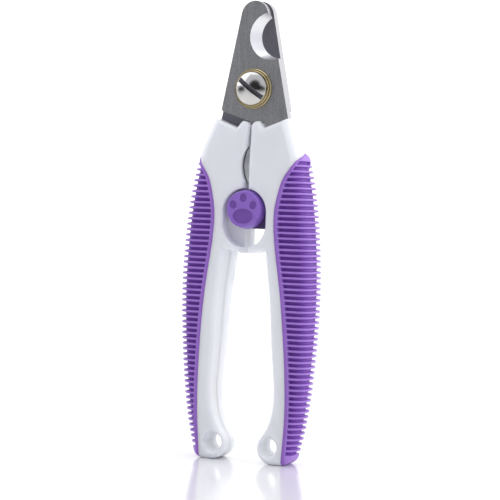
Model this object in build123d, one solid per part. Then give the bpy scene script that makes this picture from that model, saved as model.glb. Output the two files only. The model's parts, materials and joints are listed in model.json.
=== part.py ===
from build123d import *
import os
from math import radians, cos

# Pet nail trimmer: two notched blades cross on one screw, each held in a white two-part handle with a
# soft grip. A slide lock and a leaf spring sit between the handles. The grips are plain here, out to the
# tips of their ribs.
# Frame: Z = 0 is the plane of the two feet and +Z runs up to the blade tips. -Y is the front, and +X is
# the side of the handle that holds the front blade. The trimmer is closed and locked. Millimetres.

# ---- handle ----
STATIONS = [  # height, outer side of the handle, half of its thickness
    (-6.0, 18.6, 5.0),
    (8.0, 20.4, 5.2),
    (22.0, 22.7, 5.6),
    (38.0, 23.9, 6.3),
    (55.0, 24.35, 7.0),
    (72.0, 23.7, 7.3),
    (88.0, 22.1, 7.3),
    (102.0, 19.4, 6.6),
    (112.0, 16.0, 5.5),
    (122.0, 11.2, 4.6),
]
SIDE_ROUND = 4.6  # rounding of the outer side, seen along the handle
EDGE_ROUND = 1.7  # rounding of every other long edge
SIDE_OVERLAP = 0.2  # keeps the rounding's own flat faces off the handle's
FAR_SIDE = 30.0  # beyond the outer side of either handle
DEEP = 12.0  # beyond the front and back faces
SEAM_TOP = (0.342, 113.3)
SEAM_FOOT = (1.2, 70.8)
CROTCH = (7.9, 72.2)
LEG_INSIDE = [(8.1, 10.0), (11.3, 18.5), (11.0, 36.0), (9.8, 56.0)]
KNOB_RADIUS = 5.3
KNOB_FOOT_X = 11.3  # where the flat foot meets the knob
FOOT_EDGE_X = 14.4
SHOULDER_RADIUS = 2.1
VEE_LOW = (5.0, 113.1)
VEE_HIGH = (13.2, 116.3)
HORN_RELIEF = (3.0, 114.7)  # room for the other blade as it swings over the horn: half width, foot
PARTING = 0.0  # Y of the joint between a handle's front and rear halves

# ---- grip ----
BORDER = [  # edge of the soft grip on the front and back faces, from above the handle to below it
    (19.6, 108.0),
    (18.8, 105.6),
    (18.1, 103.3),
    (17.3, 101.5),
    (15.9, 99.4),
    (13.7, 96.0),
    (12.3, 91.5),
    (11.2, 86.0),
    (11.1, 80.0),
    (11.9, 72.0),
    (13.6, 61.0),
    (15.3, 45.0),
    (16.3, 28.0),
    (16.3, 14.0),
    (15.6, 4.0),
    (15.2, -2.0),
]
TIP_ARCH = [(0.0, 105.2), (1.1, 104.5), (4.7, 102.9), (6.2, 101.6), (8.5, 99.0)]  # from the side
GRIP_WALL = 2.4
TONGUE_FOOT_Z = 5.5  # the plastic under the grip ends this far up

# ---- blades ----
BLADE = 2.8
BLADE_GAP = 0.03  # each blade stands this far off the plane between them
TIP_CENTRE = (-0.4, 151.05)
TIP_RADIUS = 4.95
BLANK = [  # front blade and its tang, clockwise from the tip's left tangent point
    (-5.25, 152.05),
    (4.45, 152.05),
    (8.9, 136.2),
    (13.15, 116.3),
    (12.6, 110.0),
    (10.6, 98.5),
    (6.4, 98.5),
    (5.8, 112.0),
    (4.4, 115.4),
    (0.3, 114.95),
    (-11.35, 118.75),
    (-11.84, 119.4),
]
NOTCH_FACE = (6.1, 144.0, 8.0)  # notch at the blade's outer face: centre and radius
NOTCH_EDGE = (8.6, 144.0, 7.3)  # notch at its cutting edge
TANG_FIT = 0.05

# ---- pivot ----
PIVOT_Z = 126.3
BUSH_RADIUS = 3.35
RUNNING = 0.05
SCREW_RADIUS = 2.1
HEAD_RADIUS = 5.5
HEAD_RIM = 0.7
HEAD_DOME = 1.5
FLANGE_RADIUS = 6.8
FLANGE = 0.7
WASHER_RADIUS = 6.15
WASHER = 0.6
SLOT_ANGLE = 36.0
SLOT_WIDTH = 1.6
SLOT_DEPTH = 1.4
NUT_FLAT = 3.9
NUT = 3.0
SPRING_WASHER_RADIUS = 5.2
SPRING_WASHER = 0.8

# ---- lock ----
RECESS_RADIUS = 7.95
RECESS_LOW_Z = 80.65
RECESS_HIGH_Z = 84.75
RIM_ROUND = [(0.0, 0.6), (0.08, 0.3), (0.3, 0.08), (0.7, -0.1)]  # widening of the mouth, depth
RIM_FACE = 7.3
FLOOR_FRONT = 3.1  # the wall that carries the lock, from the plane between the halves
FLOOR_REAR = 4.3
RAIL = 0.4  # the raised rim round the guide slot, which the plate runs on
RAIL_RADIUS = 2.75
LOCK_TRAVEL = 5.5
BUTTON_Z = 85.7
BUTTON_RADIUS = 6.75
BUTTON_TOP_RADIUS = 6.05
BUTTON_RIM = 0.5
BUTTON_BACK = 4.6
BUTTON_FACE = 8.3
GUIDE = (-3.7, 87.6)
GUIDE_RADIUS = 1.6
GUIDE_PLAY = 0.25
PLATE = 1.0
PLATE_RADIUS = 5.4
PLATE_TAB = (0.0, 9.0, 79.2, 90.6)  # low x, high x, low z, high z
PLATE_PLAY = 0.2
TAB_DROP = 0.7  # the tab tips down this far as the handles open
CAP_RADIUS = 3.1
CAP_BACK = 4.6
CAP_FACE = 7.6
RIVET_HEAD = 0.7
RIVET_RADIUS = 0.9
TOES = [(-3.65, 1.4, 25), (0.0, 3.75, 0), (3.65, 1.4, -25)]  # x, height over the middle, tilt
TOE_SIZE = (1.25, 1.5)
PAD_CENTRE = (0.0, -2.4)
PAD_SIZE = (3.7, 2.6)
PAW_DEPTH = 0.35

# ---- spring ----
SPRING_THICK = 0.45
SPRING_HALF_WIDTH = 5.2
SPRING_RADIUS = 11.6
SPRING_MID = (-1.6, 100.5)  # outermost point of its bow
SPRING_TOP_Z = 106.5
SPRING_FOOT_Z = 94.5
SPRING_LEG = 3.0
SPRING_LEG_HALF = 4.0

# ---- fasteners and holes ----
PIN_RADIUS = 1.25
TANG_PINS = [(8.9, 109.0), (8.5, 102.0)]
PIN_REACH = (-4.4, 2.4)
SHELL_SCREWS = [(3.7, 108.9), (11.3, 62.5), (13.2, 14.0)]
SHELL_SCREW_HEAD = 1.8
SHELL_SCREW_SHANK = 1.0
SHELL_SCREW_SUNK = 2.2  # from the back face to the bottom of the counterbore
SHELL_SCREW_LENGTH = 7.2
SCREW_HEAD_HIGH = 1.2
HOLE = (10.35, 5.9)
HOLE_RADIUS = 3.0
HOLE_FLARE_RADIUS = 4.1
HOLE_FLARE_FROM = 3.9
LEG_POCKET = [(13.0, 18.0), (17.0, 18.0), (18.6, 36.0), (19.0, 58.0), (11.9, 58.0), (12.9, 36.0)]
LEG_POCKET_HALF = 2.2


# ---- helpers ----
def slab(face, y_low, y_high):
    """A face drawn in X and Z, extruded from y_low to y_high."""
    return extrude(Plane.XZ.offset(-y_high) * face, amount=y_high - y_low)


def outline(*points):
    return make_face(Polyline(*points, close=True))


def disc(x, z, radius):
    return Pos(x, z) * Circle(radius)


def barrel(x, z, radius, y_low, y_high):
    return slab(disc(x, z, radius), y_low, y_high)


def block(x_low, x_high, y_low, y_high, z_low, z_high):
    size = (x_high - x_low, y_high - y_low, z_high - z_low)
    middle = ((x_low + x_high) / 2, (y_low + y_high) / 2, (z_low + z_high) / 2)
    return Pos(*middle) * Box(*size)


def turned(shape):
    """The same shape half a turn round the long axis: the other handle's side."""
    return Rot(0, 0, 180) * shape


def obround(x, z_low, z_high, radius):
    straight = Pos(x, (z_low + z_high) / 2) * Rectangle(2 * radius, z_high - z_low)
    return disc(x, z_low, radius) + disc(x, z_high, radius) + straight


# ---- handle volumes ----
def side_section(z, x, half, inset):
    """One level of the handle's rounded outer side, open towards the seam."""
    reach = half + SIDE_OVERLAP - inset
    face = outline((-9, -reach), (x - inset, -reach), (x - inset, reach), (-9, reach))
    outer = [v for v in face.vertices() if v.X > 0]
    return Plane.XY.offset(z) * fillet(outer, min(SIDE_ROUND, half - 0.3) - inset)


def side_volume(inset=0.0):
    return loft([side_section(z, x, half, inset) for z, x, half in STATIONS])


def handle_outline():
    """The handle seen from the front. Its outer side is left wide, for side_volume to cut."""
    rise = (VEE_HIGH[1] - VEE_LOW[1]) / (VEE_HIGH[0] - VEE_LOW[0])
    far_top = (FAR_SIDE, VEE_HIGH[1] + rise * (FAR_SIDE - VEE_HIGH[0]))
    far_foot = (FAR_SIDE, 14.0)
    peak = (SEAM_TOP[0] + SHOULDER_RADIUS, SEAM_TOP[1] + SHOULDER_RADIUS)
    knob_side = (KNOB_FOOT_X - KNOB_RADIUS, KNOB_RADIUS)
    top = Polyline(peak, (peak[0] + 0.75, peak[1]), VEE_LOW, VEE_HIGH, far_top, far_foot)
    end = Spline(far_foot, (21.4, 7.8), (18.2, 2.5), (FOOT_EDGE_X, 0), tangents=[(-0.8, -0.6), (-1, 0)])
    foot = Line((FOOT_EDGE_X, 0), (KNOB_FOOT_X, 0))
    knob = RadiusArc((KNOB_FOOT_X, 0), knob_side, KNOB_RADIUS)
    leg = Spline(knob_side, *LEG_INSIDE, CROTCH, tangents=[(0, 1), (-0.1, 1)])
    horn = Spline(CROTCH, (4.6, 71.4), SEAM_FOOT)
    seam = Line(SEAM_FOOT, SEAM_TOP)
    shoulder = RadiusArc(SEAM_TOP, peak, SHOULDER_RADIUS)
    return make_face(Curve() + [top, end, foot, knob, leg, horn, seam, shoulder])


def thickness_volume():
    """The handle's front and back faces: a shallow bulge that thins towards both ends."""
    front = Spline(*[(half, z) for z, x, half in STATIONS])
    (z_low, _, half_low), (z_high, _, half_high) = STATIONS[0], STATIONS[-1]
    top = Line((half_high, z_high), (-half_high, z_high))
    foot = Line((half_low, z_low), (-half_low, z_low))
    face = make_face(Curve() + [front, top, mirror(front, about=Plane.YZ), foot])
    return extrude(Plane.YZ * face, amount=FAR_SIDE + 10)


def rounded_edges(body):
    """The long edges of the front and back faces, but for those that side_volume cuts away."""

    def kept(edge):
        middle, ends = edge @ 0.5, (edge @ 0, edge @ 1)
        across = abs(ends[0].Y - ends[1].Y) > 3.5
        cut_away = max(end.X for end in ends) > FAR_SIDE - 0.1 and middle.Z > VEE_LOW[1]
        return abs(middle.Y) > 2.5 and not across and not cut_away and middle.X < FAR_SIDE - 5

    return [edge for edge in body.edges() if kept(edge)]


def handle_volume():
    body = slab(handle_outline(), -DEEP, DEEP) & thickness_volume()
    return fillet(rounded_edges(body), EDGE_ROUND) & side_volume()


def beyond_border():
    """Everything outside the grip's border."""
    border = Spline(*BORDER)
    low, high = BORDER[-1][1], BORDER[0][1]
    far = Polyline(border @ 1, (FAR_SIDE, low), (FAR_SIDE, high), border @ 0)
    return slab(make_face(Curve() + [border, far]), -DEEP, DEEP)


def under_arch():
    """Everything below the arched tip that the grip shows from the side."""
    front = Spline(*TIP_ARCH)
    far_y, far_z = TIP_ARCH[-1]
    foot = Polyline((far_y, far_z), (DEEP, far_z), (DEEP, -10), (-DEEP, -10), (-DEEP, far_z), (-far_y, far_z))
    face = make_face(Curve() + [front, foot, mirror(front, about=Plane.YZ)])
    return extrude(Plane.YZ * face, amount=FAR_SIDE + 10)


def above(z):
    return block(-FAR_SIDE, FAR_SIDE, -DEEP, DEEP, z, 150)


def grip_volume(handle):
    """The soft grip, out to the tips of its ribs, wrapped round a tongue of the handle."""
    outer = handle & beyond_border() & under_arch()
    return outer - (side_volume(GRIP_WALL) & above(TONGUE_FOOT_Z))


# ---- blades ----
def notch():
    """A slanting cone that cuts the notch and its bevel. It is carried past both faces of the blade."""
    (x0, z, r0), (x1, _, r1) = NOTCH_FACE, NOTCH_EDGE
    past = 1.0 / BLADE
    wide = Plane.XZ.offset(BLADE + 1.0) * disc(x0 - (x1 - x0) * past, z, r0 + (r0 - r1) * past)
    narrow = Plane.XZ.offset(-1.0) * disc(x1 + (x1 - x0) * past, z, r1 - (r0 - r1) * past)
    return loft([wide, narrow])


def blade_blank(grow=0.0):
    shape = outline(*BLANK) + disc(*TIP_CENTRE, TIP_RADIUS)
    return offset(shape, grow) if grow else shape


def front_blade():
    body = slab(blade_blank(), -BLADE, -BLADE_GAP) - notch()
    body -= barrel(0, PIVOT_Z, BUSH_RADIUS + RUNNING, -DEEP, DEEP)
    for x, z in TANG_PINS:
        body -= barrel(x, z, PIN_RADIUS, -DEEP, DEEP)
    return body


def rear_blade():
    body = slab(blade_blank(), -BLADE, -BLADE_GAP) - notch()
    body -= barrel(0, PIVOT_Z, BUSH_RADIUS, -DEEP, DEEP)
    for x, z in TANG_PINS:
        body -= barrel(x, z, PIN_RADIUS, -DEEP, DEEP)
    return turned(body)


# ---- pivot hardware, front to back ----
def pivot_bush():
    face = -BLADE - RUNNING
    flange = barrel(0, PIVOT_Z, FLANGE_RADIUS, face - FLANGE, face)
    flange = chamfer(flange.edges().group_by(Axis.Y)[0], 0.3)
    sleeve = barrel(0, PIVOT_Z, BUSH_RADIUS, face, BLADE)
    return flange + sleeve - barrel(0, PIVOT_Z, SCREW_RADIUS, -DEEP, DEEP)


def pivot_washer():
    back = -BLADE - RUNNING - FLANGE
    ring = barrel(0, PIVOT_Z, WASHER_RADIUS, back - WASHER, back)
    ring = chamfer(ring.edges().group_by(Axis.Y)[0], 0.25)
    return ring - barrel(0, PIVOT_Z, SCREW_RADIUS, -DEEP, DEEP)


def pivot_screw():
    """Domed head with one slot, and a shank that ends in the nut."""
    under = -BLADE - RUNNING - FLANGE - WASHER
    rim = under - HEAD_RIM
    dome_radius = (HEAD_RADIUS**2 + HEAD_DOME**2) / (2 * HEAD_DOME)
    ball = Pos(0, rim - HEAD_DOME + dome_radius, PIVOT_Z) * Sphere(dome_radius)
    head = barrel(0, PIVOT_Z, HEAD_RADIUS, under - HEAD_RIM - HEAD_DOME, under) & ball
    slot_low = rim - HEAD_DOME + SLOT_DEPTH
    slot = Pos(0, slot_low - 3, PIVOT_Z) * Rot(0, SLOT_ANGLE, 0) * Box(20, 6, SLOT_WIDTH)
    shank = barrel(0, PIVOT_Z, SCREW_RADIUS, under, nut_face() + 0.5)
    return (head - slot) + shank


def nut_face():
    return BLADE + SPRING_WASHER + NUT


def pivot_spring_washer():
    ring = barrel(0, PIVOT_Z, SPRING_WASHER_RADIUS, BLADE, BLADE + SPRING_WASHER)
    return ring - barrel(0, PIVOT_Z, SCREW_RADIUS, -DEEP, DEEP)


def pivot_nut():
    corner = NUT_FLAT / cos(radians(30))
    hexagon = Pos(0, PIVOT_Z) * RegularPolygon(corner, 6)
    body = slab(hexagon, BLADE + SPRING_WASHER, nut_face())
    crown = Pos(0, nut_face() - 9.0, PIVOT_Z) * Sphere(9.75)
    return (body & crown) - barrel(0, PIVOT_Z, SCREW_RADIUS, -DEEP, DEEP)


# ---- leaf spring ----
def leg_box(x_low, x_high, z, half):
    return Pos((x_low + x_high) / 2, z) * Rectangle(x_high - x_low, 2 * half)


def spring_bow():
    """The bowed middle of the spring, between its two legs."""
    x, z = SPRING_MID
    centre = (x + SPRING_RADIUS, z)
    half = SPRING_THICK / 2
    ring = disc(*centre, SPRING_RADIUS + half) - disc(*centre, SPRING_RADIUS - half)
    low, high = SPRING_FOOT_Z - half, SPRING_TOP_Z + half
    return ring & leg_box(-6, 0.6, (low + high) / 2, (high - low) / 2)


def leaf_spring():
    """A bow that bears on the left handle, with a leg at each end in a slot of the right one."""
    half = SPRING_THICK / 2
    body = slab(spring_bow(), -SPRING_HALF_WIDTH, SPRING_HALF_WIDTH)
    for z in (SPRING_TOP_Z, SPRING_FOOT_Z):
        body += slab(leg_box(0, SPRING_LEG, z, half), -SPRING_LEG_HALF, SPRING_LEG_HALF)
    return body


def left_spring_room():
    """The shallow bay that the bow lies in, open to the seam."""
    x, z = SPRING_MID
    bay = disc(x + SPRING_RADIUS, z, SPRING_RADIUS + 0.4) & leg_box(-6, 0.5, z, SPRING_TOP_Z - z + 0.6)
    return slab(bay, -DEEP, DEEP)


def right_spring_room():
    width = SPRING_LEG_HALF + 0.2
    room = Part()
    for z in (SPRING_TOP_Z, SPRING_FOOT_Z):
        room += slab(leg_box(0, SPRING_LEG + 0.3, z, 0.4), -width, width)
    return room


# ---- lock ----
def lock_button():
    """A tapered button with a paw sunk in its face."""
    base = Plane.XZ.offset(BUTTON_BACK) * disc(0, BUTTON_Z, BUTTON_RADIUS)
    top = Plane.XZ.offset(BUTTON_FACE) * disc(0, BUTTON_Z, BUTTON_TOP_RADIUS)
    body = loft([base, top])
    body = fillet(body.edges().group_by(Axis.Y)[0], BUTTON_RIM)
    marks = [Pos(x, BUTTON_Z + z) * Rot(0, 0, tilt) * Ellipse(*TOE_SIZE) for x, z, tilt in TOES]
    marks.append(Pos(PAD_CENTRE[0], BUTTON_Z + PAD_CENTRE[1]) * Ellipse(*PAD_SIZE))
    for mark in marks:
        body -= slab(mark, -BUTTON_FACE - 1, -BUTTON_FACE + PAW_DEPTH)
    return body - rivet_bore()


def rivet_bore():
    return barrel(*GUIDE, RIVET_RADIUS, -BUTTON_BACK - 1.5, DEEP)


def plate_tab(grow, lower=0.0):
    x_low, x_high, z_low, z_high = PLATE_TAB
    middle = (z_low + z_high - lower) / 2
    return leg_box(x_low, x_high + grow, middle, (z_high - z_low + lower) / 2 + grow)


def lock_plate():
    """A disc under the button with a tab that reaches into the right handle."""
    body = slab(disc(0, BUTTON_Z, PLATE_RADIUS) + plate_tab(0), -BUTTON_BACK, -BUTTON_BACK + PLATE)
    return body - rivet_bore()


def lock_rear_cap():
    body = barrel(*GUIDE, CAP_RADIUS, CAP_BACK, CAP_FACE)
    body = fillet(body.edges().group_by(Axis.Y)[-1], 0.6)
    body += barrel(*GUIDE, GUIDE_RADIUS, -BUTTON_BACK + PLATE, CAP_BACK)
    return body - rivet_bore()


def lock_rivet():
    shank = barrel(*GUIDE, RIVET_RADIUS, -BUTTON_BACK - 1.5, CAP_FACE)
    head = barrel(*GUIDE, 1.7, CAP_FACE, CAP_FACE + RIVET_HEAD)
    return shank + fillet(head.edges().group_by(Axis.Y)[-1], 0.5)


def recess(y_low, y_high, wider=0.0):
    return slab(obround(0, RECESS_LOW_Z, RECESS_HIGH_Z, RECESS_RADIUS + wider), y_low, y_high)


def recess_rim(way):
    """The rounding of the recess's mouth, in three flat steps, at the front (1) or the back (-1)."""
    rim = Part()
    for (r0, d0), (r1, d1) in zip(RIM_ROUND, RIM_ROUND[1:]):
        deep = obround(0, RECESS_LOW_Z, RECESS_HIGH_Z, RECESS_RADIUS + r0)
        shallow = obround(0, RECESS_LOW_Z, RECESS_HIGH_Z, RECESS_RADIUS + r1)
        low = Plane.XZ.offset(way * (RIM_FACE - d0)) * deep.face()
        high = Plane.XZ.offset(way * (RIM_FACE - d1)) * shallow.face()
        rim += loft([low, high])
    return rim


def guide_slot(radius):
    x, z = GUIDE
    return obround(x, z - LOCK_TRAVEL, z, radius)


def left_lock_room():
    """The recess in front and behind, and the guide slot between them with its rail."""
    front = recess(-DEEP, -FLOOR_FRONT) - slab(guide_slot(RAIL_RADIUS), -FLOOR_FRONT - RAIL, 0)
    slot = slab(guide_slot(GUIDE_RADIUS + GUIDE_PLAY), -FLOOR_FRONT - 1, FLOOR_REAR + 1)
    return front + recess(FLOOR_REAR, DEEP) + slot + recess_rim(1) + recess_rim(-1)


def right_lock_room():
    """The recess goes right through, with a pocket at its side for the plate's tab."""
    room = plate_tab(0.5, LOCK_TRAVEL + TAB_DROP)
    pocket = slab(room, -BUTTON_BACK - PLATE_PLAY, -BUTTON_BACK + PLATE + PLATE_PLAY)
    return recess(-DEEP, DEEP) + pocket + recess_rim(1) + recess_rim(-1)


# ---- fasteners and holes ----
def tang_pins():
    return Part() + [barrel(x, z, PIN_RADIUS, *PIN_REACH) for x, z in TANG_PINS]


def back_face(z):
    """Y of the back face at a height, by straight lines between the stations."""
    for (z0, _, h0), (z1, _, h1) in zip(STATIONS, STATIONS[1:]):
        if z0 <= z <= z1:
            return h0 + (h1 - h0) * (z - z0) / (z1 - z0)
    raise ValueError(z)


def shell_screws(side):
    """Three cross-head screws from the back, on the side of +X (1) or -X (-1)."""
    made = []
    for x, z in SHELL_SCREWS:
        seat = back_face(z) - SHELL_SCREW_SUNK
        head = barrel(side * x, z, SHELL_SCREW_HEAD, seat, seat + SCREW_HEAD_HIGH)
        head = fillet(head.edges().group_by(Axis.Y)[-1], 0.5)
        cross = Box(2.2, 1.4, 0.5) + Box(0.5, 1.4, 2.2)
        head -= Pos(side * x, seat + SCREW_HEAD_HIGH, z) * cross
        made.append(head + barrel(side * x, z, SHELL_SCREW_SHANK, seat - SHELL_SCREW_LENGTH, seat))
    return Part() + made


def screw_holes(side):
    holes = Part()
    for x, z in SHELL_SCREWS:
        seat = back_face(z) - SHELL_SCREW_SUNK
        holes += barrel(side * x, z, SHELL_SCREW_HEAD + 0.1, seat, DEEP)
        holes += barrel(side * x, z, SHELL_SCREW_SHANK, seat - SHELL_SCREW_LENGTH, seat)
    return holes


def hanging_hole():
    """A through hole with a flared mouth at each face, at the middle of the knob."""
    x, z = HOLE
    hole = barrel(x, z, HOLE_RADIUS, -DEEP, DEEP)
    depth = 3.0
    spread = HOLE_RADIUS + (HOLE_FLARE_RADIUS - HOLE_RADIUS) * depth / (5.2 - HOLE_FLARE_FROM)
    for way in (1, -1):
        near = Plane.XZ.offset(way * HOLE_FLARE_FROM) * disc(x, z, HOLE_RADIUS)
        far = Plane.XZ.offset(way * (HOLE_FLARE_FROM + depth)) * disc(x, z, spread)
        hole += loft([near, far])
    return hole


def tang_pocket():
    """Room for the tang in its handle, a close fit all round."""
    lower = block(-FAR_SIDE, FAR_SIDE, -BLADE, PARTING, 90, 118)
    return slab(blade_blank(TANG_FIT), -BLADE, PARTING) & lower


def horn_relief():
    """The step in the right horn's back half that the rear blade passes over."""
    wide, foot = HORN_RELIEF
    return block(-1, VEE_LOW[0] + 1, 0, wide, foot, 118)


def leg_pocket():
    return slab(outline(*LEG_POCKET), -LEG_POCKET_HALF, LEG_POCKET_HALF)


# ---- handles ----
def halves(core):
    front = core & block(-FAR_SIDE, FAR_SIDE, -DEEP, PARTING, -1, 150)
    rear = core & block(-FAR_SIDE, FAR_SIDE, PARTING, DEEP, -1, 150)
    return front, rear


def right_handle(core):
    core = core - tang_pocket() - tang_pins() - screw_holes(1)
    return halves(core - right_lock_room() - right_spring_room())


def left_handle(core):
    core = turned(core - tang_pocket() - tang_pins()) - screw_holes(-1)
    return halves(core - left_lock_room() - left_spring_room())


def build():
    handle = handle_volume()
    grip = grip_volume(handle)
    core = handle - grip - leg_pocket() - hanging_hole() - horn_relief()
    right_front, right_rear = right_handle(core)
    left_front, left_rear = left_handle(core)
    return {
        "front_blade": front_blade(),
        "rear_blade": rear_blade(),
        "pivot_screw": pivot_screw(),
        "pivot_washer": pivot_washer(),
        "pivot_bush": pivot_bush(),
        "pivot_spring_washer": pivot_spring_washer(),
        "pivot_nut": pivot_nut(),
        "left_handle_front": left_front,
        "left_handle_rear": left_rear,
        "right_handle_front": right_front,
        "right_handle_rear": right_rear,
        "left_grip": turned(grip),
        "right_grip": grip,
        "left_tang_pins": turned(tang_pins()),
        "right_tang_pins": tang_pins(),
        "left_handle_screws": shell_screws(-1),
        "right_handle_screws": shell_screws(1),
        "leaf_spring": leaf_spring(),
        "lock_button": lock_button(),
        "lock_plate": lock_plate(),
        "lock_rear_cap": lock_rear_cap(),
        "lock_rivet": lock_rivet(),
    }


os.makedirs("parts", exist_ok=True)
for name, shape in build().items():
    export_step(shape, f"parts/{name}.step")
    print(f"{name}: {len(shape.solids())} solid(s), {shape.volume:.1f} mm3")
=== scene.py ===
import json
import math

import bmesh
import bpy
from mathutils import Matrix, Vector
from mathutils.bvhtree import BVHTree

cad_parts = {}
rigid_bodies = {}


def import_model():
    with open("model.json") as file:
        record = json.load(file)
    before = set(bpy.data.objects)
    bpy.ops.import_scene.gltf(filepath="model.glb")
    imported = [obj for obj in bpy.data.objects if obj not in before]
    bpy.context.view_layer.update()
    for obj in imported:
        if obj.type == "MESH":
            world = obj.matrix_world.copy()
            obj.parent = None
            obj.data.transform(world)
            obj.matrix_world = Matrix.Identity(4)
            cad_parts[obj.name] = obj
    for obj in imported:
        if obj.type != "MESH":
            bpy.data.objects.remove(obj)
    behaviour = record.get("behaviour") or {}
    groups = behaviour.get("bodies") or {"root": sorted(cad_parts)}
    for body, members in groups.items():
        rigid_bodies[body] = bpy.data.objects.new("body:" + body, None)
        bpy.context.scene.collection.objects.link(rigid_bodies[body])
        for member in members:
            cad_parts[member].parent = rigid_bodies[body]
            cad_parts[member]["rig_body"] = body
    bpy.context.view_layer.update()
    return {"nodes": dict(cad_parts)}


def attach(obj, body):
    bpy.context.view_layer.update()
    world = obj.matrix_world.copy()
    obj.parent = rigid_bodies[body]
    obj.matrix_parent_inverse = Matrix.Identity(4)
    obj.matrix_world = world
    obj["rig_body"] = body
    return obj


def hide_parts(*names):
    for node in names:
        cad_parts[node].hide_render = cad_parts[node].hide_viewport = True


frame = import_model()
NODES = frame["nodes"]
MM = 0.001

# ---- ribs of the grips; lengths in millimetres ----
RIB_PITCH = 1.87
FIRST_GROOVE_Z = 4.35
GROOVES = 53
GROOVE_DEPTH = 1.4
RIB_PROFILE = [  # distance from the middle of a rib, share of the groove's depth
    (0.0, 0.0),
    (0.13, 0.005),
    (0.23, 0.035),
    (0.31, 0.12),
    (0.36, 0.28),
    (0.41, 0.55),
    (0.46, 0.82),
    (0.54, 0.96),
    (0.66, 1.0),
    (0.935, 1.0),
]
BAND = 1.3  # smooth border of the grip
# painted shade: the smooth border band is painted partway towards the grooves' darker colour
BAND_SHADE = 0.5  # how far the border's colour goes towards the grooves' own
GROOVE_END = 0.4  # run-out of a groove at the border
GRIP_WALL = 2.2
FOOT_ROWS = 26  # rows of the mesh below the first rib
TIP_ROWS = 22  # rows of the mesh above the last rib
INNER_COLUMNS = 18  # columns of the mesh on the grip's inner side
MIDDLE_COLUMNS = 30  # columns between the two borders
EDGE_STOPS = [0.0, 0.05, 0.13, 0.25, 0.6, 1.0, 1.18, 1.28, 1.36, 1.44, 1.52, 1.6, 1.68, 1.78]
GRIP_PROUD = 0.07  # how far the grip stands out of the plastic
EDGE_DIP = 0.12
EDGE_DIP_WIDTH = 0.22
GRIP_TOP_Z = 105.17
GRIP_FOOT_Z = 0.12
FOOT_TOP_Z = FIRST_GROOVE_Z - 0.95  # just short of the first rib's middle
FULL_REACH = 4  # sections that reach less far than this are made thinner
LEAST_REACH = 0.08  # sections that reach less far than this are left out

# ---- rays against the CAD skins; lengths in millimetres ----
FAR_OUT = 40  # beyond the object
LEAST_SIDE_X = 10  # a first hit nearer the middle than this is no side of the handle
RAY_START = 3  # how far outside the skin a ray starts
SAME_POINT = 0.03  # two hits nearer than this are the same point
FARTHEST_GUESS = 1.6  # a hit farther than this from the guess is not the skin meant
WRAP = 9.0  # the most that a grip wraps on past the rounding of the side
HALVINGS = 22  # steps of the search for a border


# ---- mesh helpers ----
SAME_VERTEX = 0.002 * MM
FLAT = 0.6  # degrees; faces that turn less than this become one
SHARP = 34  # degrees; edges that turn more than this are rounded


def piece_from(name, mesh, body, node):
    """Makes the object that stands for a CAD node and rides on its body."""
    piece = bpy.data.objects.new(name, mesh)
    bpy.context.scene.collection.objects.link(piece)
    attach(piece, body)
    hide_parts(node)
    return piece


def applied(piece):
    """The piece's mesh with its modifiers worked in."""
    graph = bpy.context.evaluated_depsgraph_get()
    mesh = bpy.data.meshes.new_from_object(piece.evaluated_get(graph))
    piece.modifiers.clear()
    piece.data = mesh
    return piece


def softened(node, width, segments=2):
    """A copy of a CAD piece with its sharp edges rounded, shown in its place."""
    mesh = NODES[node].data.copy()
    mesh.materials.clear()
    if mesh.attributes.get("custom_normal"):
        mesh.attributes.remove(mesh.attributes["custom_normal"])
    work = bmesh.new()
    work.from_mesh(mesh)
    bmesh.ops.remove_doubles(work, verts=work.verts, dist=SAME_VERTEX)
    bmesh.ops.dissolve_limit(work, angle_limit=math.radians(FLAT), verts=work.verts, edges=work.edges)
    for face in work.faces:
        face.smooth = True
    work.to_mesh(mesh)
    work.free()
    piece = piece_from(node + "_shown", mesh, NODES[node]["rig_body"], node)
    bevel = piece.modifiers.new("soften", "BEVEL")
    bevel.width = width * MM
    bevel.segments = segments
    bevel.limit_method = "ANGLE"
    bevel.angle_limit = math.radians(SHARP)
    bevel.use_clamp_overlap = True
    bevel.harden_normals = True
    weighted = piece.modifiers.new("normals", "WEIGHTED_NORMAL")
    weighted.keep_sharp = True
    return applied(piece)


# ---- grips ----
def tree_of(*nodes):
    """One ray-casting tree over the skins of some CAD nodes."""
    points, faces = [], []
    for node in nodes:
        mesh = NODES[node].data
        start = len(points)
        points += [v.co / MM for v in mesh.vertices]
        faces += [[start + i for i in p.vertices] for p in mesh.polygons]
    return BVHTree.FromPolygons(points, faces)


def hit_from(tree, x, y, z, dx, dy):
    """The first point of the skin that a level ray meets, or None."""
    return tree.ray_cast(Vector((x, y, z)), Vector((dx, dy, 0)))[0]


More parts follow.
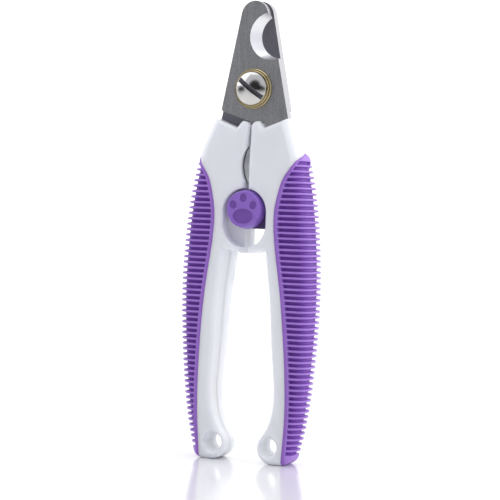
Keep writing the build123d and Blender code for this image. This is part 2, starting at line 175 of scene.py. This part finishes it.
class Section:
    """The right grip's outer skin at one height. Places are measured from the middle of the side."""

    ROUND = 4.6
    LIFT = 0.2

    def __init__(self, grip, whole, z):
        self.grip, self.whole, self.z = grip, whole, z
        self.reach = 0.0
        outer = hit_from(whole, FAR_OUT, 0, z, -1, 0)
        if outer is None or outer.x < LEAST_SIDE_X:
            return
        self.x_out = outer.x
        face = hit_from(whole, self.x_out - 5.2, -20, z, 0, 1)
        self.half = -face.y
        self.radius = min(self.ROUND, self.half - 0.3)
        self.centre = (self.x_out - self.radius, self.half + self.LIFT - self.radius)
        self.last_angle = math.acos(1 - self.LIFT / self.radius)
        self.arc = self.radius * (math.pi / 2 - self.last_angle)
        self.find_border()

    def find_border(self):
        """How far the grip reaches from the middle of the side to its border."""
        if not self.is_grip(0.0):
            return
        low, high = 0.0, self.centre[1] + self.arc + WRAP
        for _ in range(HALVINGS):
            middle = (low + high) / 2
            if self.is_grip(middle):
                low = middle
            else:
                high = middle
        self.reach = low

    def is_grip(self, s):
        (x, y), (nx, ny) = self.guess(s)
        start = (x + RAY_START * nx, y + RAY_START * ny, self.z)
        skin = hit_from(self.whole, *start, -nx, -ny)
        soft = hit_from(self.grip, *start, -nx, -ny)
        return skin is not None and soft is not None and (skin - soft).length < SAME_POINT

    def guess(self, s):
        """A point near the skin and its outward normal."""
        if s < self.centre[1]:
            return (self.x_out, -s), (1.0, 0.0)
        s -= self.centre[1]
        if s < self.arc:
            angle = math.pi / 2 - s / self.radius
            sin, cos = math.sin(angle), math.cos(angle)
            return (self.centre[0] + self.radius * sin, -self.centre[1] - self.radius * cos), (sin, -cos)
        s -= self.arc
        turn_x = self.centre[0] + self.radius * math.sin(self.last_angle)
        tilt = self.last_angle * smooth_step(1 - s / 3)
        return (turn_x - s, -self.half), (math.sin(tilt), -math.cos(tilt))

    def at(self, s):
        """The point of the CAD skin at s, with its outward normal. Behind the middle, s is negative."""
        (x, y), (nx, ny) = self.guess(abs(s))
        found = hit_from(self.whole, x + RAY_START * nx, y + RAY_START * ny, self.z, -nx, -ny)
        if found is not None and (found.xy - Vector((x, y))).length < FARTHEST_GUESS:
            x, y = found.x, found.y
        way = 1 if s > 0 else -1
        return Vector((x, y * way)), Vector((nx, ny * way))


def stops_along(length):
    """Column positions: close together at both borders, even between them."""
    squeeze = min(1.0, 0.42 * length / EDGE_STOPS[-1])
    near = [s * squeeze for s in EDGE_STOPS]
    first, last = near[-1], length - near[-1]
    middle = [first + (last - first) * (i + 1) / (MIDDLE_COLUMNS + 1) for i in range(MIDDLE_COLUMNS)]
    return near + middle + [length - s for s in reversed(near)]


def smooth_step(t):
    t = min(max(t, 0.0), 1.0)
    return t * t * (3 - 2 * t)


def edge_lift(s):
    """The grip's edge dips below the plastic at its border and stands proud beyond it."""
    return GRIP_PROUD - EDGE_DIP * (1 - smooth_step(s / EDGE_DIP_WIDTH))


def grip_rows():
    """Heights of the mesh's rows and how deep each row lies in a groove, from the foot to the tip."""
    climb = FOOT_TOP_Z - GRIP_FOOT_Z
    rows = [(GRIP_FOOT_Z + climb * (i / FOOT_ROWS) ** 1.7, 0.0) for i in range(FOOT_ROWS)]
    first = FIRST_GROOVE_Z - RIB_PITCH / 2
    for n in range(GROOVES + 1):
        rib = first + n * RIB_PITCH
        lower = [(rib - offset, share) for offset, share in reversed(RIB_PROFILE[1:-1])]
        upper = [(rib + offset, share) for offset, share in RIB_PROFILE]
        if n == 0:
            lower = []
        if n == GROOVES:
            upper = upper[:1]
        rows += lower + upper
    last = rows[-1][0]
    climb = GRIP_TOP_Z - last
    rows += [(last + climb * (1 - (1 - i / TIP_ROWS) ** 1.5), 0.0) for i in range(1, TIP_ROWS + 1)]
    return rows


def grip_loop(section, share, work, groove_shade_layer):
    """One level of the grip: its skin from the front border to the back one, then its inner side."""
    reach, z = section.reach, section.z
    small = min(1.0, reach / FULL_REACH)
    wall = GRIP_WALL * small
    depth = min(GROOVE_DEPTH, 0.75 * wall)
    loop = []
    for stop in stops_along(2 * reach):
        place, normal = section.at(reach - stop)
        from_edge = min(stop, 2 * reach - stop)
        cut = share * smooth_step((from_edge - BAND) / GROOVE_END)
        at = place + normal * (edge_lift(from_edge) * small - depth * cut)
        vert = work.verts.new((at.x * MM, at.y * MM, z * MM))
        # the border band gets part of the painted shade, the grooves get it by their depth
        band = BAND_SHADE * (1 - smooth_step((from_edge - BAND + 0.4) / 0.4))
        vert[groove_shade_layer] = max(cut, band)
        loop.append(vert)
    for i in reversed(range(INNER_COLUMNS)):
        place, normal = section.at(reach * (1 - 2 * i / (INNER_COLUMNS - 1)))
        at = place - normal * wall
        loop.append(work.verts.new((at.x * MM, at.y * MM, z * MM)))
    return loop


def grip_mesh():
    """The ribbed grip of the right handle, fitted to the CAD grip's outer skin."""
    grip = tree_of("right_grip")
    whole = tree_of("right_grip", "right_handle_front")
    work = bmesh.new()
    # per-vertex share of the painted shade in the grooves and on the border band
    groove_shade_layer = work.verts.layers.float.new("groove")
    loops = []
    for z, share in grip_rows():
        section = Section(grip, whole, z)
        if section.reach > LEAST_REACH:
            loops.append(grip_loop(section, share, work, groove_shade_layer))
    for low, high in zip(loops, loops[1:]):
        for i in range(len(low)):
            j = (i + 1) % len(low)
            work.faces.new((low[i], low[j], high[j], high[i])).smooth = True
    work.faces.new(list(reversed(loops[0])))
    work.faces.new(loops[-1])
    bmesh.ops.recalc_face_normals(work, faces=work.faces)
    mesh = bpy.data.meshes.new("ribbed_grip")
    work.to_mesh(mesh)
    work.free()
    return mesh


def grips():
    right = grip_mesh()
    left = right.copy()
    left.transform(Matrix.Rotation(math.pi, 4, "Z"))
    return [
        piece_from("right_ribbed_grip", right, "right_half", "right_grip"),
        piece_from("left_ribbed_grip", left, "left_half", "left_grip"),
    ]


# ---- materials ----
class Shader:
    """A material's node tree, with short calls for what these materials use."""

    def __init__(self, name):
        self.material = bpy.data.materials.new(name)
        self.material.use_nodes = True
        self.nodes = self.material.node_tree.nodes
        self.links = self.material.node_tree.links
        self.base = self.nodes["Principled BSDF"]
        self.place = self.nodes.new("ShaderNodeTexCoord").outputs["Object"]

    def put(self, **sockets):
        for name, value in sockets.items():
            self.base.inputs[name.replace("_", " ")].default_value = value
        return self

    def join(self, output, socket):
        self.links.new(output, self.base.inputs[socket])
        return self

    def stretched(self, x, y, z):
        """Object coordinates, in millimetres, times a factor along each axis."""
        mapping = self.nodes.new("ShaderNodeMapping")
        mapping.inputs["Scale"].default_value = (x / MM, y / MM, z / MM)
        self.links.new(self.place, mapping.inputs["Vector"])
        return mapping.outputs["Vector"]

    def noise(self, vector, scale, detail=2.0, rough=0.5):
        node = self.nodes.new("ShaderNodeTexNoise")
        node.inputs["Scale"].default_value = scale
        node.inputs["Detail"].default_value = detail
        node.inputs["Roughness"].default_value = rough
        self.links.new(vector, node.inputs["Vector"])
        return node.outputs["Fac"]

    def ramp(self, value, *stops):
        node = self.nodes.new("ShaderNodeValToRGB")
        ramp = node.color_ramp
        for element, (at, colour) in zip(ramp.elements, stops):
            element.position = at
            grey = isinstance(colour, (int, float))
            element.color = (colour, colour, colour, 1) if grey else (*colour, 1)
        self.links.new(value, node.inputs["Fac"])
        return node.outputs["Color"]

    def mix(self, share, a, b):
        node = self.nodes.new("ShaderNodeMix")
        node.data_type = "RGBA"
        for name, value in (("Factor", share), ("A", a), ("B", b)):
            socket = next(s for s in node.inputs if s.name == name and s.enabled)
            if isinstance(value, (int, float)):
                socket.default_value = value
            elif isinstance(value, tuple):
                socket.default_value = (*value, 1)
            else:
                self.links.new(value, socket)
        return next(s for s in node.outputs if s.enabled)

    def attribute(self, name):
        node = self.nodes.new("ShaderNodeAttribute")
        node.attribute_name = name
        return node.outputs["Fac"]

    def bump(self, height, strength, distance):
        node = self.nodes.new("ShaderNodeBump")
        node.inputs["Strength"].default_value = strength
        node.inputs["Distance"].default_value = distance * MM
        self.links.new(height, node.inputs["Height"])
        return self.join(node.outputs["Normal"], "Normal")


def white_plastic():
    shader = Shader("white_plastic")
    fine = shader.noise(shader.stretched(1, 1, 1), 1.1, 2)
    broad = shader.noise(shader.stretched(1, 1, 1), 0.06, 2)
    shader.join(shader.ramp(broad, (0.3, (0.87, 0.885, 0.93)), (0.7, (0.9, 0.91, 0.945))), "Base Color")
    shader.join(shader.ramp(fine, (0.3, 0.22), (0.75, 0.27)), "Roughness")
    shader.put(IOR=1.5, Subsurface_Weight=0.5, Subsurface_Scale=3 * MM, Subsurface_Radius=(1.0, 1.0, 1.1))
    return shader.bump(fine, 0.02, 0.02).material


def purple_rubber():
    shader = Shader("purple_rubber")
    grain = shader.noise(shader.stretched(1, 1, 1), 3.0, 3, 0.6)
    broad = shader.noise(shader.stretched(1, 1, 1), 0.25, 3)
    colour = shader.ramp(broad, (0.25, (0.37, 0.19, 0.63)), (0.75, (0.42, 0.23, 0.7)))
    # painted shade: grooves and border band are painted towards a deep purple
    groove_painted_shade = shader.mix(shader.attribute("groove"), colour, (0.24, 0.075, 0.48))
    shader.join(groove_painted_shade, "Base Color")
    shader.join(shader.ramp(grain, (0.3, 0.4), (0.7, 0.52)), "Roughness")
    shader.put(IOR=1.48)
    return shader.bump(grain, 0.1, 0.04).material


def purple_plastic(name, low, high):
    shader = Shader(name)
    grain = shader.noise(shader.stretched(1, 1, 1), 5.0, 4, 0.6)
    broad = shader.noise(shader.stretched(1, 1, 1), 0.4, 3)
    shader.join(shader.ramp(broad, (0.25, low), (0.75, high)), "Base Color")
    shader.join(shader.ramp(grain, (0.3, 0.3), (0.7, 0.42)), "Roughness")
    shader.put(IOR=1.5)
    return shader.bump(grain, 0.1, 0.03).material


def ground_steel(name, dark, light):
    """Sheet steel with a grain along the blade and fine specks."""
    shader = Shader(name)
    lines = shader.noise(shader.stretched(7, 7, 0.12), 1.0, 5, 0.65)
    speck = shader.noise(shader.stretched(1, 1, 1), 2.6, 3, 0.6)
    grain = shader.ramp(lines, (0.3, dark), (0.7, light))
    dots = shader.ramp(speck, (0.35, dark), (0.65, light))
    shader.join(shader.mix(0.4, grain, dots), "Base Color")
    shader.join(shader.ramp(lines, (0.3, 0.36), (0.7, 0.5)), "Roughness")
    shader.put(Metallic=1.0)
    return shader.bump(lines, 0.3, 0.02).material


def honed_steel():
    """The notch bevels, honed bright, with fine marks across them."""
    shader = Shader("honed_steel")
    lines = shader.noise(shader.stretched(0.5, 6, 9), 1.0, 4, 0.6)
    shader.join(shader.ramp(lines, (0.3, 0.86), (0.7, 0.97)), "Base Color")
    shader.join(shader.ramp(lines, (0.3, 0.3), (0.7, 0.46)), "Roughness")
    shader.put(Metallic=1.0)
    return shader.bump(lines, 0.2, 0.02).material


def plain_metal(name, low, high, rough):
    shader = Shader(name)
    speck = shader.noise(shader.stretched(1, 1, 1), 5.0, 4, 0.6)
    shader.join(shader.ramp(speck, (0.3, low), (0.7, high)), "Base Color")
    shader.join(shader.ramp(speck, (0.3, rough), (0.7, rough + 0.08)), "Roughness")
    shader.put(Metallic=1.0)
    return shader.bump(speck, 0.05, 0.01).material


def dress(piece, *materials):
    piece.data.materials.clear()
    for material in materials:
        piece.data.materials.append(material)


# ---- pieces ----
SIDE_ON = 0.15  # a normal with less y than this looks sideways
FACE_ON = 0.9  # a normal with more y than this looks forward or back
SQUARELY_ON = 0.995
SLOT_FLOOR = 4.95 * MM  # from the plane between the blades to the floor of the screw's slot
SLOT_MARGIN = 0.05 * MM
BUTTON_FACE = 8.3 * MM  # from the same plane to the front of the lock's button
PAW_DEPTH = 0.35 * MM
PAW_LEAST = 0.2 * MM


def spring():
    """A polished strip whose cut edges get painted shade."""
    piece = softened("leaf_spring", 0.04)
    dress(piece, polished_strip, spring_steel)
    for face in piece.data.polygons:
        if abs(face.normal.y) > 0.7:
            face.material_index = 1


def blade(node, face_steel):
    """A blade with ground faces (0), a honed notch bevel (1) and bright sides (2)."""
    piece = softened(node, 0.1)
    dress(piece, face_steel, honed, bright_side)
    for face in piece.data.polygons:
        if abs(face.normal.y) < SIDE_ON:
            face.material_index = 2
        elif abs(face.normal.y) < FACE_ON:
            face.material_index = 1


def in_slot(face):
    """The floor and walls of the slot in the screw's dome."""
    if face.center.y >= -SLOT_FLOOR + SLOT_MARGIN:
        return False
    on_floor = face.normal.y < -SQUARELY_ON and face.center.y > -SLOT_FLOOR - SLOT_MARGIN
    return on_floor or abs(face.normal.y) < SIDE_ON


def screw():
    piece = softened("pivot_screw", 0.12, segments=3)
    dress(piece, nickel, slot_painted_shade)
    # the slot's floor and walls get painted shade
    for face in piece.data.polygons:
        if in_slot(face):
            face.material_index = 1


def in_paw(face):
    """The sunk floors of the paw, below the button's own face."""
    sunk = BUTTON_FACE + face.center.y
    return face.normal.y < -FACE_ON and PAW_LEAST < sunk < 2 * PAW_DEPTH


def button():
    piece = softened("lock_button", 0.14, segments=3)
    dress(piece, purple, painted_paw_shade)
    # the sunk floors of the paw get painted shade
    for face in piece.data.polygons:
        if in_paw(face):
            face.material_index = 1


# ---- studio ----
FLOOR_RADIUS = 6.0
FRONT_SHADE = (0.7, 0.71, 0.79, 1)
BACK_SHADE = (1.3, 1.3, 1.3, 1)
CARD_SHADE = 0.04  # what is left of the surroundings' light inside a dark card
DARK_CARDS = [  # direction from the object, angle that is fully dark, angle that is fully light
    ((-0.1, -0.97, 0.2), 14, 27),
    ((0.3, -0.93, -0.04), 9, 21),
    ((-0.86, -0.5, -0.13), 10, 24),
]


def pale_floor():
    shader = Shader("pale_floor")
    fine = shader.noise(shader.stretched(1, 1, 1), 1.0, 2)
    shader.join(shader.ramp(fine, (0.3, 0.1), (0.7, 0.12)), "Roughness")
    shader.put(Base_Color=(0.78, 0.78, 0.79, 1), IOR=1.45)
    return shader.material


def floor():
    work = bmesh.new()
    bmesh.ops.create_circle(work, cap_ends=True, radius=FLOOR_RADIUS, segments=96)
    mesh = bpy.data.meshes.new("floor")
    work.to_mesh(mesh)
    work.free()
    piece = bpy.data.objects.new("floor", mesh)
    bpy.context.scene.collection.objects.link(piece)
    dress(piece, pale_floor())


def soft_light(name, place, target, size, power):
    data = bpy.data.lights.new(name, "AREA")
    data.shape = "RECTANGLE"
    data.size, data.size_y = size
    data.energy = power
    light = bpy.data.objects.new(name, data)
    light.location = place
    light.rotation_mode = "QUATERNION"
    light.rotation_quaternion = (Vector(target) - Vector(place)).to_track_quat("-Z", "Y")
    bpy.context.scene.collection.objects.link(light)


def card_shade(nodes, links, place, direction, inner, outer):
    """Dark inside a round card hung in one direction, 1 outside it."""
    dot = nodes.new("ShaderNodeVectorMath")
    dot.operation = "DOT_PRODUCT"
    dot.inputs[1].default_value = Vector(direction).normalized()
    links.new(place, dot.inputs[0])
    scale = nodes.new("ShaderNodeMapRange")
    scale.interpolation_type = "SMOOTHSTEP"
    scale.inputs["From Min"].default_value = math.cos(math.radians(outer))
    scale.inputs["From Max"].default_value = math.cos(math.radians(inner))
    scale.inputs["To Min"].default_value = 1.0
    scale.inputs["To Max"].default_value = CARD_SHADE
    links.new(dot.outputs["Value"], scale.inputs["Value"])
    return scale.outputs["Result"]


def multiplied(nodes, links, a, b):
    product = nodes.new("ShaderNodeMath")
    product.operation = "MULTIPLY"
    links.new(a, product.inputs[0])
    links.new(b, product.inputs[1])
    return product.outputs["Value"]


def surroundings():
    """Bright behind the object and greyer in front, with dark cards for the screw's dome to reflect."""
    world = bpy.data.worlds.new("studio")
    bpy.context.scene.world = world
    world.use_nodes = True
    nodes, links = world.node_tree.nodes, world.node_tree.links
    place = nodes.new("ShaderNodeTexCoord").outputs["Generated"]
    split = nodes.new("ShaderNodeSeparateXYZ")
    links.new(place, split.inputs["Vector"])
    ramp = nodes.new("ShaderNodeValToRGB")
    ramp.color_ramp.interpolation = "EASE"
    low, high = ramp.color_ramp.elements
    low.position, low.color = 0.3, FRONT_SHADE
    high.position, high.color = 0.6, BACK_SHADE
    scale = nodes.new("ShaderNodeMapRange")
    scale.inputs["From Min"].default_value = -1
    links.new(split.outputs["Y"], scale.inputs["Value"])
    links.new(scale.outputs["Result"], ramp.inputs["Fac"])
    links.new(ramp.outputs["Color"], nodes["Background"].inputs["Color"])
    dim = None
    for direction, inner, outer in DARK_CARDS:
        shade = card_shade(nodes, links, place, direction, inner, outer)
        dim = shade if dim is None else multiplied(nodes, links, dim, shade)
    links.new(dim, nodes["Background"].inputs["Strength"])


CAMERA_AZIMUTH = math.radians(25.64)
CAMERA_DISTANCE = 0.536
CAMERA_HEIGHT = 0.0884
CAMERA_PITCH = math.radians(1.77)
CAMERA_ROLL = math.radians(1.82)
CAMERA_LENS = 113.5
CAMERA_SHIFT = -0.0041


def camera():
    sin, cos = math.sin(CAMERA_AZIMUTH), math.cos(CAMERA_AZIMUTH)
    right = Vector((cos, sin, 0))
    back = Vector((sin, -cos, 0))
    up = Vector((0, 0, 1))
    ahead = -back * math.cos(CAMERA_PITCH) - up * math.sin(CAMERA_PITCH)
    above = up * math.cos(CAMERA_PITCH) - back * math.sin(CAMERA_PITCH)
    rolled_right = right * math.cos(CAMERA_ROLL) + above * math.sin(CAMERA_ROLL)
    rolled_up = above * math.cos(CAMERA_ROLL) - right * math.sin(CAMERA_ROLL)
    data = bpy.data.cameras.new("camera")
    data.lens = CAMERA_LENS
    data.sensor_width = 36
    data.shift_x = CAMERA_SHIFT
    data.clip_start = 0.02
    view = bpy.data.objects.new("camera", data)
    turn = Matrix((rolled_right, rolled_up, -ahead)).transposed().to_4x4()
    view.matrix_world = Matrix.Translation(back * CAMERA_DISTANCE + up * CAMERA_HEIGHT) @ turn
    bpy.context.scene.collection.objects.link(view)
    bpy.context.scene.camera = view


# ---- build ----
white = white_plastic()
rubber = purple_rubber()
purple = purple_plastic("purple_plastic", (0.26, 0.13, 0.53), (0.3, 0.155, 0.6))
# a darker copy of the purple plastic: painted shade on the sunk floors of the paw
painted_paw_shade = purple_plastic("purple_paw_floor_painted_shade", (0.17, 0.07, 0.37), (0.2, 0.085, 0.42))
# a near-black copy of the purple plastic: painted shade on the lock plate in its recess
plate_painted_shade = purple_plastic("dark_purple_plastic", (0.045, 0.02, 0.1), (0.06, 0.028, 0.13))
steel = ground_steel("ground_steel", 0.21, 0.5)
# a darker, violet-grey copy of the ground steel: painted shade on the rear blade behind the front one
rear_steel_painted_shade = ground_steel("rear_steel_painted_shade", (0.16, 0.155, 0.18), (0.27, 0.265, 0.3))
honed = honed_steel()
bright_side = plain_metal("bright_side", (0.5, 0.5, 0.52), (0.61, 0.61, 0.64), 0.35)
nickel = plain_metal("nickel", (0.6, 0.59, 0.56), (0.68, 0.67, 0.64), 0.1)
# near-black steel: painted shade in the slot of the screw's dome
slot_painted_shade = plain_metal("slot_painted_shade", (0.1, 0.1, 0.11), (0.2, 0.2, 0.21), 0.35)
brass = plain_metal("brass", (0.28, 0.22, 0.1), (0.58, 0.49, 0.29), 0.18)
# dark steel: the spring washer's own colour, and painted shade on the leaf spring's cut edges
spring_steel = plain_metal("spring_steel", (0.05, 0.045, 0.055), (0.09, 0.085, 0.1), 0.4)
polished_strip = plain_metal("polished_strip", (0.86, 0.86, 0.88), (0.95, 0.95, 0.96), 0.3)
zinc = plain_metal("zinc", (0.5, 0.5, 0.52), (0.62, 0.62, 0.64), 0.28)

for node in ("left_handle_front", "left_handle_rear", "right_handle_front", "right_handle_rear"):
    dress(NODES[node], white)
for grip in grips():
    dress(grip, rubber)
spring()
blade("front_blade", steel)
# the rear blade gets the steel with painted shade
blade("rear_blade", rear_steel_painted_shade)
button()
screw()
dress(softened("pivot_washer", 0.06), brass)
dress(softened("pivot_bush", 0.06), brass)
dress(softened("pivot_spring_washer", 0.08), spring_steel)
dress(softened("pivot_nut", 0.12), nickel)
# the lock plate gets the purple with painted shade
dress(softened("lock_plate", 0.1), plate_painted_shade)
dress(softened("lock_rear_cap", 0.12), purple)
dress(softened("lock_rivet", 0.08), zinc)
for node in ("left_tang_pins", "right_tang_pins", "left_handle_screws", "right_handle_screws"):
    dress(NODES[node], zinc)

floor()
surroundings()
soft_light("left_box", (-0.85, -0.35, 0.75), (0, 0, 0.08), (0.7, 1.0), 2.0)
soft_light("right_box", (0.9, 0.1, 0.35), (0, 0, 0.08), (0.6, 1.0), 3.6)
soft_light("top_box", (0.0, -0.2, 1.0), (0, 0, 0.08), (0.8, 0.8), 1.6)
camera()
bpy.context.scene.view_settings.view_transform = "Standard"
